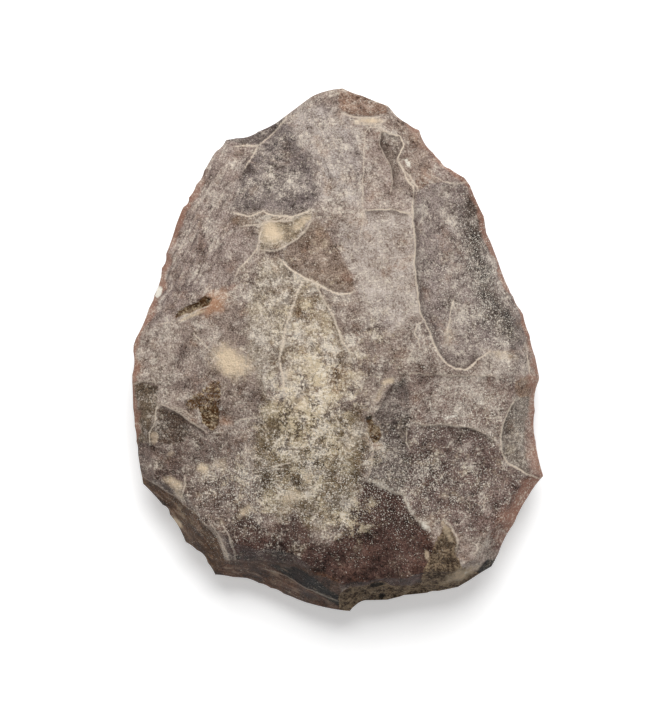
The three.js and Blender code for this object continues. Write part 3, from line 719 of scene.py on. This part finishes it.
# Fine streaks that follow the way a flake ran: middle, heading, half length, half width, strength
STREAKS = [
    (-28, 22, 62, 16, 8, 1),
    (-14, 36, 155, 8, 7, 0.9),
    (-1, 38, 110, 9, 7, 0.7),
    (-29, -33.5, -47, 12, 3.6, 1.2),
    (-20, -42.5, -8, 7, 2.4, 1.3),
    (-9, -44.8, -28, 9, 3.2, 1.3),
    (4, -47.8, -12, 5, 1.6, 0.8),
    (21, 14, 84, 18, 7, 0.4),
    (-36, -8, 84, 9, 3, 0.6),
    (36, 0, -70, 12, 2.5, 0.5),
    (14, 42, -50, 6, 3, 0.6),
]
WOBBLE = 0.3
WOBBLE_GRAIN = 2.2
FINE_WOBBLE = 0.18
FINE_GRAIN = 0.8
wobble = WOBBLE * wear(upper_places, WOBBLE_GRAIN, 3, 3)
wobble += FINE_WOBBLE * wear(upper_places, FINE_GRAIN, 2, 9)


def soft_oval(across, along, heading, half_long, half_wide, strength, softness=0.9, ragged=1):
    """How much of a stain falls on each point: 1 well inside its oval and 0 well outside."""
    out = np.sqrt(oval_share(x, y, (across, along), heading, half_long, half_wide)) + ragged * wobble
    return strength * smooth_step(-out, -1 - softness, -1 + softness)


stains = {stain: np.max([soft_oval(*row) for row in rows], axis=0) for stain, rows in STAINS.items()}

STREAK_LENGTH = 4
STREAK_WIDTH = 0.5
streak = np.zeros(len(x))
for number, (across, along, heading, *sizes) in enumerate(STREAKS):
    inside_streaks = soft_oval(across, along, heading, *sizes, softness=0.5, ragged=0.5)
    reached = np.flatnonzero(inside_streaks)
    turn = math.radians(heading)
    lengthwise = (x * math.cos(turn) + y * math.sin(turn))[reached] * STREAK_WIDTH / STREAK_LENGTH
    sideways = (y * math.cos(turn) - x * math.sin(turn))[reached]
    streaky = wear(np.column_stack([lengthwise, sideways]), STREAK_WIDTH, 3, number)
    streak[reached] += inside_streaks[reached] * streaky
stains["streak"] = streak

# Painted glow at the thin edge: red-brown stands for light shining through it, widest down both sides and
# none at the butt
THIN_LEFT = 1.4
THIN_RIGHT = 0.9
RAGGED_LEFT = 0.8
RAGGED_RIGHT = 1.6
THIN_GRAIN = 5
THIN_STRENGTH = 0.9
THIN_FADE = (-0.5, 0.9)
down_left = smooth_step(y, -22, -15) * smooth_step(-y, -40, -28)
down_right = smooth_step(y, -30, -22) * smooth_step(-y, -46, -36)
side_share = np.where(x < 0, down_left, down_right)
ragged = np.where(x < 0, RAGGED_LEFT, RAGGED_RIGHT) * wear(upper_places, THIN_GRAIN, 2, 21)
thin_width = np.where(x < 0, THIN_LEFT, THIN_RIGHT) * (1 + ragged) + wobble
thin = smooth_step(thin_width - edge_distance, *THIN_FADE)
stains["ruddy_and_edge_glow"] = np.maximum(stains["ruddy_and_edge_glow"], thin * side_share * THIN_STRENGTH)


def tint(colours, code, share):
    """The colours, moved at each point towards a hex colour by a share."""
    return colours + (np.array(linear(code)) - colours) * share[:, None]


MAUVE_GREY = "#928075"
BARE_FROST = 0.4
OVAL_FROST = 0.4
patina_colour = np.tile(linear(MAUVE_GREY), (len(x), 1))
bent_x, bent_y = bend(x, y)
frost = np.full(len(x), BARE_FROST)
for outline, _, flint_colour, facet_frost, softness in FACETS:
    depth_in = inside_outline(bent_x, bent_y, outline) + wobble * min(softness, 1)
    share = smooth_step(depth_in, -softness / 2, softness / 2)
    patina_colour = tint(patina_colour, flint_colour, share)
    frost += (facet_frost - frost) * share
stains["frost"] = frost + OVAL_FROST * stains["frost"]


def paint(piece, colours):
    layer = piece.data.attributes.new("patina_colour", "FLOAT_COLOR", "POINT")
    layer.data.foreach_set("color", colours.astype(np.float32).ravel())


paint(upper, patina_colour)

# Painted shade and highlight: the plainer face is darker in the hollows of its scars and paler on the
# ridges between them
LOWER_HOLLOW_SHADE = "#5f5049"
LOWER_RIDGE_HIGHLIGHT = "#cdbdae"
HOLLOW_SHARE = 0.8
RIDGE_SHARE = 0.7
lower_colour = np.tile(linear(MAUVE_GREY), (len(lower_z), 1))
lower_colour = tint(lower_colour, LOWER_HOLLOW_SHADE, HOLLOW_SHARE * smooth_step(lower_cut, 0, LOWER_SCAR_DEPTH))
paint(lower, tint(lower_colour, LOWER_RIDGE_HIGHLIGHT, RIDGE_SHARE * lower_ridge))

# Ridges are worn pale, and painted shade darkens the foot of each step, on the low side of its drop
FOOT_STARTS = 0.3
FOOT_REACH = 1.3
FROSTED_BESIDE = 0.8
CREST_FROST = 0.3
SHADE_BY_DROP = 1.8
PALE_AT_ENDS = 0.4
END_TAPER = 0.08
FAR_OFF = 9.0
crest_off = np.full(len(x), FAR_OFF)
crest_gap = np.full(len(x), FAR_OFF)
crest_pale = np.zeros(len(x))
foot_soil = np.zeros(len(x))
for line, _, half_wide, drop, _, pale in RIDGES:
    away, side, along = from_line(bent_x, bent_y, line)
    gap = away / half_wide
    nearer = (gap < crest_gap) & (pale > 0)
    ends = fade_ends(along, END_TAPER)
    crest_pale = np.where(nearer, pale * (PALE_AT_ENDS + (1 - PALE_AT_ENDS) * ends), crest_pale)
    crest_off = np.where(nearer, side * gap, crest_off)
    crest_gap = np.where(nearer, gap, crest_gap)
    stains["frost"] += CREST_FROST * pale * ends * np.exp(-away / FROSTED_BESIDE)
    below = smooth_step(side * away, 0, FOOT_STARTS) * np.exp(-away / FOOT_REACH) * ends
    foot_soil = np.maximum(foot_soil, below * min(drop * SHADE_BY_DROP, 1))
stains.update(crest_off=crest_off, crest_gap=crest_gap, crest_pale=crest_pale, foot_soil=foot_soil,
              rough=rough_share, rind=rind_share)
for stain, amounts in stains.items():
    layer = upper.data.attributes.new(stain, "FLOAT", "POINT")
    layer.data.foreach_set("value", amounts.astype(np.float32))

# Both faces become one stone, with the narrow gap at the sharp edge bridged
SMOOTH_UNDER = 45
bpy.ops.object.select_all(action="DESELECT")
lower.select_set(True)
upper.select_set(True)
bpy.context.view_layer.objects.active = upper
bpy.ops.object.join()
flint = bpy.context.object
bpy.ops.object.mode_set(mode="EDIT")
bpy.ops.mesh.select_mode(type="EDGE")
bpy.ops.mesh.select_non_manifold(extend=False)
bpy.ops.mesh.bridge_edge_loops()
bpy.ops.mesh.select_all(action="SELECT")
bpy.ops.mesh.normals_make_consistent(inside=False)
bpy.ops.object.mode_set(mode="OBJECT")
bpy.ops.object.shade_smooth_by_angle(angle=math.radians(SMOOTH_UNDER))
flint.name = "flint"
flint.data.name = "flint"
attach(flint, "root")
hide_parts("flint_scraper")

# Patinated flint
# Flint is microcrystalline silica, hard and waxy. Here a thin burial patina dulls it, so it has a
# soft sheen, a fine pale frost over a dark body, and clouds of cream where the patina is thickest.
def add_node(tree, kind, links, **settings):
    """Adds a node with its settings, and gives each named or numbered socket a value or a link."""
    node = tree.nodes.new(kind)
    for name, value in settings.items():
        setattr(node, name, value)
    for socket, value in links.items():
        if isinstance(value, bpy.types.NodeSocket):
            tree.links.new(value, node.inputs[socket])
        else:
            node.inputs[socket].default_value = value
    return node


patina = bpy.data.materials.new("patinated flint, knapped")
patina.use_nodes = True
tree = patina.node_tree
shader = tree.nodes["Principled BSDF"]
where = add_node(tree, "ShaderNodeTexCoord", {}).outputs["Object"]
in_mm = add_node(tree, "ShaderNodeVectorMath", {0: where, "Scale": 1 / MM}, operation="SCALE").outputs[0]


def cloud(size, detail=3, roughness=0.6, shift=0):
    """Noise from 0 to 1 with clumps of about a size in mm."""
    moved = add_node(tree, "ShaderNodeVectorMath", {0: in_mm, 1: (shift, shift * 2, 0)}, operation="ADD")
    sockets = {"Vector": moved.outputs[0], "Scale": 1 / size, "Detail": detail, "Roughness": roughness}
    return add_node(tree, "ShaderNodeTexNoise", sockets).outputs["Fac"]


def amount(name):
    return add_node(tree, "ShaderNodeAttribute", {}, attribute_name=name).outputs["Fac"]


def rise(value, start, end, top=1.0):
    """0 below the start, top above the end, and an S curve between."""
    sockets = {"Value": value, "From Min": start, "From Max": end, "To Max": top}
    return add_node(tree, "ShaderNodeMapRange", sockets, interpolation_type="SMOOTHSTEP").outputs["Result"]


def reckon(operation, first, second):
    return add_node(tree, "ShaderNodeMath", {0: first, 1: second}, operation=operation).outputs[0]


def add_times(first, second, times):
    """The first value plus the second one times a number."""
    sockets = {0: second, 1: times, 2: first}
    return add_node(tree, "ShaderNodeMath", sockets, operation="MULTIPLY_ADD").outputs[0]


def lay(under, over, share, blend="MIX"):
    """One colour laid over another by a share. Each is a hex colour or a socket."""
    under, over = [linear(each) if isinstance(each, str) else each for each in (under, over)]
    return add_node(tree, "ShaderNodeMix", {0: share, 6: under, 7: over}, data_type="RGBA",
                    blend_type=blend, clamp_factor=True).outputs[2]


UMBER = "#3f302a"
COOL_TINT = "#d2ced2"
WARM_TINT = "#f2dcc8"
CREAM = "#ecd5b6"
FROST = "#d8cabd"
SNOW = "#f8eee1"
PALE_MOTTLE = "#e7d4b3"
WORN_PALE = "#ead9c5"
STREAK_PALE = "#a48c78"
CHALK = "#f8f0e2"
PALE_FLECK = "#f6e9d6"
# Near black, used as painted shade in holes and deep hollows
SHADE_BLACK = "#15100d"
RED_BROWN = "#a47763"
ORANGE = "#c5916c"
PIT_DARK = "#644325"
PIT_PALE = "#f4dcb6"
RIND_DARK = "#46362a"
RIND_PALE = "#bea587"

mottle = amount("mottle")
streaks = amount("streak")
weathered = amount("rough")
colour = add_node(tree, "ShaderNodeAttribute", {}, attribute_name="patina_colour").outputs["Color"]
colour = lay(colour, COOL_TINT, rise(cloud(6, 4, 0.6, 5), 0.5, 0.66, 0.6), "MULTIPLY")
colour = lay(colour, WARM_TINT, rise(cloud(4, 4, 0.65, 17), 0.52, 0.7, 0.6), "MULTIPLY")

# Sand and grain, from dust to clouds of 4 mm, lighten and darken the stone by how far each strays
# from its middle: noise, the reach that has full effect, and how strong the light and dark are
sand = cloud(0.28, 2, 0.6, 7)
grain = cloud(4, 6, 0.9, 45)
for noise_value, reach, light, dark in [(sand, 0.2, 0.8, 0.8), (grain, 0.12, 0.75, 0.85)]:
    colour = lay(colour, "#ffffff", rise(noise_value, 0.5, 0.5 + reach, light), "SOFT_LIGHT")
    colour = lay(colour, "#000000", rise(noise_value, 0.5, 0.5 - reach, dark), "SOFT_LIGHT")
colour = lay(colour, UMBER, rise(streaks, 0.0, -0.7, 0.6))
colour = lay(colour, STREAK_PALE, rise(streaks, 0.05, 0.8, 0.5))

# Frost lies thin everywhere and thickest, almost white, where the stone is mottled
clumps = reckon("SUBTRACT", cloud(2.8, 2, 0.5, 15), 0.5)
clumps = reckon("MULTIPLY", clumps, add_times(0.18, mottle, 0.24))
frosted = add_times(reckon("ADD", cloud(5, 6, 0.97, 3), clumps), sand, 0.1)
frosted = add_times(add_times(frosted, amount("frost"), 0.055), streaks, 0.08)
thick = add_times(0.7, mottle, 0.3)
thicker = add_times(0.45, mottle, 0.55)
colour = lay(colour, FROST, reckon("MULTIPLY", rise(frosted, 0.53, 0.71, 0.75), thick))
colour = lay(colour, SNOW, reckon("MULTIPLY", rise(frosted, 0.645, 0.755, 0.85), thicker))

# Mottles are dark in their low places and cream in their high ones
mottles = cloud(4, 6, 0.97, 41)
mottled = add_times(add_times(mottles, mottle, 0.07), sand, 0.06)
mottled = add_times(mottled, cloud(2.5, 2, 0.5, 73), 0.3)
colour = lay(colour, UMBER, reckon("MULTIPLY", rise(mottles, 0.49, 0.42, 0.75), mottle))
yellowed = add_times(0.1, mottle, 0.85)
colour = lay(colour, PALE_MOTTLE, reckon("MULTIPLY", rise(mottled, 0.72, 0.82, 0.95), yellowed))
# Real ruddy stains, and the painted red-brown glow of light shining through the thin edges
ruddy_and_edge_glow = add_times(amount("ruddy_and_edge_glow"), cloud(1.6, 4, 0.65, 29), 0.5)
colour = lay(colour, RED_BROWN, rise(ruddy_and_edge_glow, 0.5, 1.2, 0.7))
orange = add_times(amount("orange"), cloud(1.2, 4, 0.65, 23), 0.5)
colour = lay(colour, ORANGE, rise(orange, 0.4, 1.25, 0.7))

# The brightest grains of frost and mottle are 0.3 to 0.5 mm flecks
flecks = add_times(add_times(cloud(0.45, 2, 0.6, 99), frosted, 0.8), mottled, 0.5)
colour = lay(colour, PALE_FLECK, reckon("MULTIPLY", rise(flecks, 1.35, 1.5, 0.95), thicker))

# Painted shade darkens the foot of each step, soil fills the pits, and chalky rind crumbles at the butt
colour = lay(colour, UMBER, rise(amount("foot_soil"), 0.05, 0.9, 0.5))
gravel = cloud(0.4, 3, 0.7, 77)
lumps = cloud(1.6, 3, 0.6, 57)
soil = lay(PIT_DARK, PIT_PALE, rise(cloud(0.45, 4, 0.75, 27), 0.45, 0.63, 0.9))
soil = lay(soil, PIT_DARK, rise(lumps, 0.52, 0.44, 0.85))
# Painted shade: the deepest hollows between the grains of pit soil go near black
soil = lay(soil, SHADE_BLACK, rise(lumps, 0.4, 0.3, 0.8))
rind = lay(RIND_DARK, RIND_PALE, rise(add_times(gravel, lumps, 0.7), 0.68, 1.1))
soil = lay(soil, rind, amount("rind"))
colour = lay(colour, soil, rise(add_times(weathered, gravel, 2), 1.35, 1.6))
cream = add_times(amount("cream"), cloud(0.9, 4, 0.7, 61), 0.9)
colour = lay(colour, CREAM, rise(cream, 0.55, 1.6, 0.95))
# Painted shade: near black laid where holes, pit rims and the tip's hinge lie in shadow
painted_shade = add_times(amount("painted_shade"), cloud(0.6, 3, 0.65, 83), 0.6)
colour = lay(colour, SHADE_BLACK, rise(painted_shade, 0.7, 1.25, 0.9))

# A crest is drawn from the signed distance to it, which stays true between the grid's vertices
crest_away = reckon("ABSOLUTE", amount("crest_off"), 0)
crest_away = reckon("MAXIMUM", crest_away, reckon("SUBTRACT", amount("crest_gap"), 1.4))
broken = add_times(add_times(crest_away, cloud(0.45, 2, 0.6, 19), 1.8), cloud(3, 2, 0.5, 63), 0.9)
worn = reckon("MULTIPLY", rise(broken, 2.4, 1.35), amount("crest_pale"))
colour = lay(colour, WORN_PALE, worn)
chalk = add_times(amount("chalk"), cloud(0.5, 3, 0.6, 91), 0.9)
colour = lay(colour, CHALK, rise(chalk, 0.75, 1.2))

# White specks, really under 0.1 mm, drawn 0.3 mm across so that they show; in part they are painted glints
specks = add_times(cloud(0.25, 2, 0.5, 13), amount("specks"), 0.12)
specks = add_times(specks, cloud(5, 2, 0.5, 47), 0.12)
colour = lay(colour, CHALK, rise(specks, 0.74, 0.84, 0.85))
tree.links.new(colour, shader.inputs["Base Color"])

WAXY = 0.42
UNEVEN_SHEEN = 0.14
SOIL_DULLER = 0.35
rough = reckon("ADD", rise(cloud(3, 4, 0.6, 33), 0.3, 0.7, UNEVEN_SHEEN), WAXY)
rough = add_times(rough, weathered, SOIL_DULLER)
tree.links.new(rough, shader.inputs["Roughness"])
FLINT_IOR = 1.54
SHEEN = 0.12
shader.inputs["IOR"].default_value = FLINT_IOR
shader.inputs["Specular IOR Level"].default_value = SHEEN

# Relief too fine for the mesh: the shares of grain, sand, streaks and the gravel in the pits
bumps = add_times(reckon("MULTIPLY", grain, 2.5), sand, 0.25)
bumps = add_times(bumps, streaks, 0.25)
bumps = add_times(bumps, reckon("MULTIPLY", gravel, weathered), 3)
BUMP_HEIGHT = 0.6 * MM
bump = add_node(tree, "ShaderNodeBump", {"Height": bumps, "Strength": 1.0, "Distance": BUMP_HEIGHT})
tree.links.new(bump.outputs["Normal"], shader.inputs["Normal"])
flint.data.materials.clear()
flint.data.materials.append(patina)

# Floor and light
# The flint lies on a plain white sheet under one broad soft light from beyond its tip, with pale
# light all round, so its shadow shows only below the butt.
FLOOR_SIZE = 3
SHEET_GLOW = 0.28
bpy.ops.mesh.primitive_plane_add(size=FLOOR_SIZE)
floor = bpy.context.object
floor.name = "floor"
sheet = bpy.data.materials.new("white paper sheet, matt")
sheet.use_nodes = True
paper = sheet.node_tree.nodes["Principled BSDF"].inputs
paper["Base Color"].default_value = linear("#f4f4f4")
paper["Roughness"].default_value = 0.95
paper["Specular IOR Level"].default_value = 0.1
paper["Emission Color"].default_value = linear("#ffffff")
paper["Emission Strength"].default_value = SHEET_GLOW
floor.data.materials.append(sheet)

LAMP_PLACE = (0.02, 0.47, 0.66)
LAMP_WIDTH = 0.6
LAMP_POWER = 7.4
ROOM_LIGHT = 0.35
bpy.ops.object.light_add(type="AREA", location=LAMP_PLACE)
key = bpy.context.object
key.data.shape = "DISK"
key.data.size = LAMP_WIDTH
key.data.energy = LAMP_POWER
key.rotation_euler = Vector(LAMP_PLACE).to_track_quat("Z", "Y").to_euler()
world = bpy.data.worlds.new("pale studio")
bpy.context.scene.world = world
world.use_nodes = True
background = world.node_tree.nodes["Background"].inputs
background["Color"].default_value = linear("#ffffff")
background["Strength"].default_value = ROOM_LIGHT
bpy.context.scene.view_settings.view_transform = "Standard"
